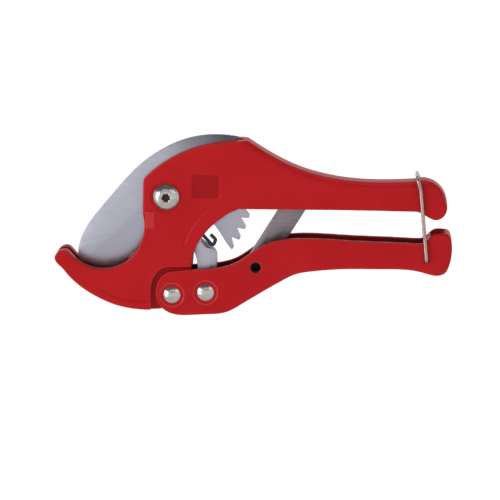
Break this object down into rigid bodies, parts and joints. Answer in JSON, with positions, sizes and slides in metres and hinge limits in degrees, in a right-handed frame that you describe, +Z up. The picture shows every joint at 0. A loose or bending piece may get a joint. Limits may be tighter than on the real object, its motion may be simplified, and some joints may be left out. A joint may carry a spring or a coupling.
{
  "type": "pvc pipe cutter",
  "caption": "Ratchet cutter for plastic pipe: hooked jaw, bevelled toothed blade, pawl-driven lower handle, spreader lever and wire bail lock.",
  "frame": {"origin": "half way along the tool, in the blade's middle plane, at the height of the lowest point of the lower handle", "axes": "+X from the jaw to the handle ends, +Z up from the lower handle to the upper one, Y across the thickness with -Y the side of the screw's head"},
  "size_m": [0.2041, 0.0216, 0.0934],
  "materials": {
    "red_paint": "gloss",
    "blade_steel": "satin",
    "bright_steel": "satin",
    "dark_steel": "dull",
    "spring_wire": "black oxide",
    "bronze": "sintered"
  },
  "bodies": {
    "frame": {"main_casting": "red_paint", "pivot_screw": "bright_steel", "pivot_washer": "bright_steel", "pivot_nut": "bright_steel", "pivot_bush": "bronze", "blade_shim_near": "bronze", "blade_shim_far": "bronze", "handle_bush": "bronze", "handle_rivet": "bright_steel"},
    "blade": {"blade": "blade_steel"},
    "lower_handle": {"lower_handle": "red_paint", "pawl_rivet": "bright_steel", "lever_pin": "dark_steel", "lever_spacer_near": "dark_steel", "lever_spacer_far": "dark_steel"},
    "pawl": {"pawl_plate_near": "dark_steel", "pawl_plate_far": "dark_steel", "pawl_spacer": "dark_steel", "pawl_washer_near": "bright_steel", "pawl_washer_far": "bright_steel", "nose_pin": "bright_steel", "pawl_spring": "spring_wire"},
    "lever": {"spreader_lever": "dark_steel", "spreader_spring": "spring_wire"},
    "bail": {"wire_bail": "bright_steel"}
  },
  "joints": [
    {"name": "handle_pivot", "type": "hinge", "parent": "frame", "child": "lower_handle", "pos_m": [-0.0413, 0, 0.01094], "axis": [0, 1, 0], "range_deg": [0, 36]},
    {"name": "blade_pivot", "type": "hinge", "parent": "frame", "child": "blade", "pos_m": [-0.044, 0, 0.06204], "axis": [0, 1, 0], "range_deg": [0, 58]},
    {"name": "pawl_pivot", "type": "hinge", "parent": "lower_handle", "child": "pawl", "pos_m": [-0.024, 0, 0.01234], "axis": [0, 1, 0], "range_deg": [0, 7.2]},
    {"name": "lever_pivot", "type": "hinge", "parent": "lower_handle", "child": "lever", "pos_m": [0.0018, 0, 0.02574], "axis": [0, 1, 0], "range_deg": [-50.4, 0]},
    {"name": "bail_pivot", "type": "hinge", "parent": "lower_handle", "child": "bail", "pos_m": [0.0892, 0, 0.03004], "axis": [0, 1, 0], "range_deg": [0, 108], "deforming": ["wire_bail"]}
  ],
  "couplings": [
    {"joint": "pawl_pivot", "follows": "handle_pivot", "ratio": 0.2},
    {"joint": "lever_pivot", "follows": "handle_pivot", "ratio": -1.4},
    {"joint": "bail_pivot", "follows": "handle_pivot", "ratio": 3}
  ]
}
